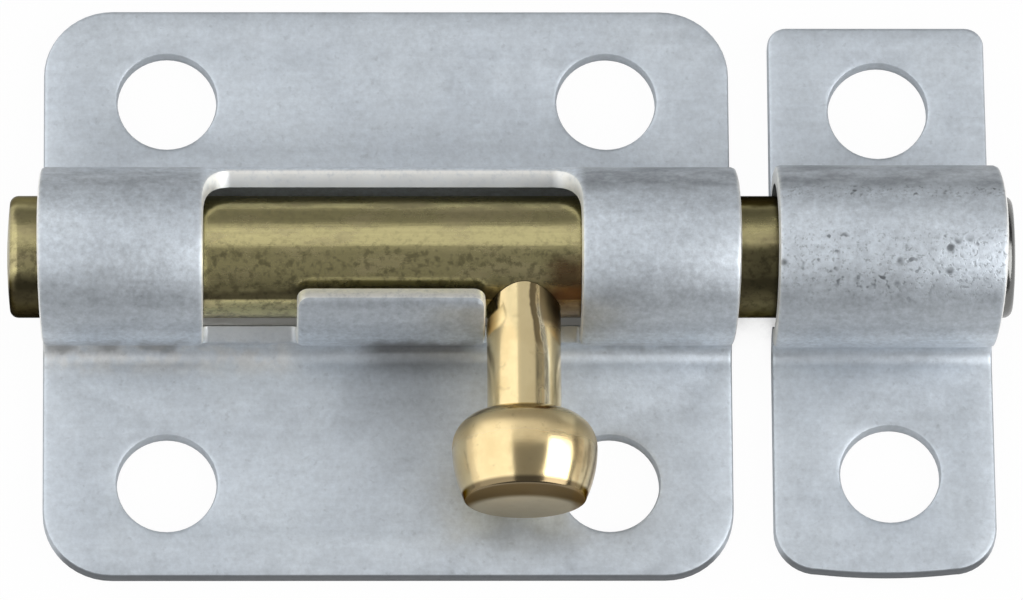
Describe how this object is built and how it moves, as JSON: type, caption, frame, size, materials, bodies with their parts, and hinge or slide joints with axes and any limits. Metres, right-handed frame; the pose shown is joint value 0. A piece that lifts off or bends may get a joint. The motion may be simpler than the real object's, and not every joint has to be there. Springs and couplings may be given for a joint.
{
  "type": "barrel bolt",
  "caption": "Small surface barrel bolt: pressed case with a windowed barrel, round rod with a turned knob, and a matching pressed keeper on the rod's end.",
  "frame": {"origin": "on the plane of the backs of case and keeper, under the middle of the rod's length and the middle of the case's width", "axes": "+X along the rod from the case to the keeper, +Y across the flanges away from the knob, +Z out of the door, from the backs to the crest of the barrels"},
  "size_m": [0.0524, 0.031, 0.0093],
  "materials": {
    "zinc_plate": "matt bluish zinc plating with fine mottling",
    "dull_brass": "dull olive brass, drawn",
    "polished_brass": "polished"
  },
  "bodies": {
    "plates": {"case": "zinc_plate", "keeper": "zinc_plate"},
    "bolt": {"rod": "dull_brass"},
    "handle": {"knob": "polished_brass"}
  },
  "joints": [
    {"name": "rod_slide", "type": "slide", "parent": "plates", "child": "bolt", "axis": [1, 0, 0], "range_m": [0, 0.0009]},
    {"name": "knob_turn", "type": "hinge", "parent": "bolt", "child": "handle", "pos_m": [0.00061, 0.00072, 0.0045], "axis": [-1, 0, 0], "range_deg": [0, 99]}
  ]
}
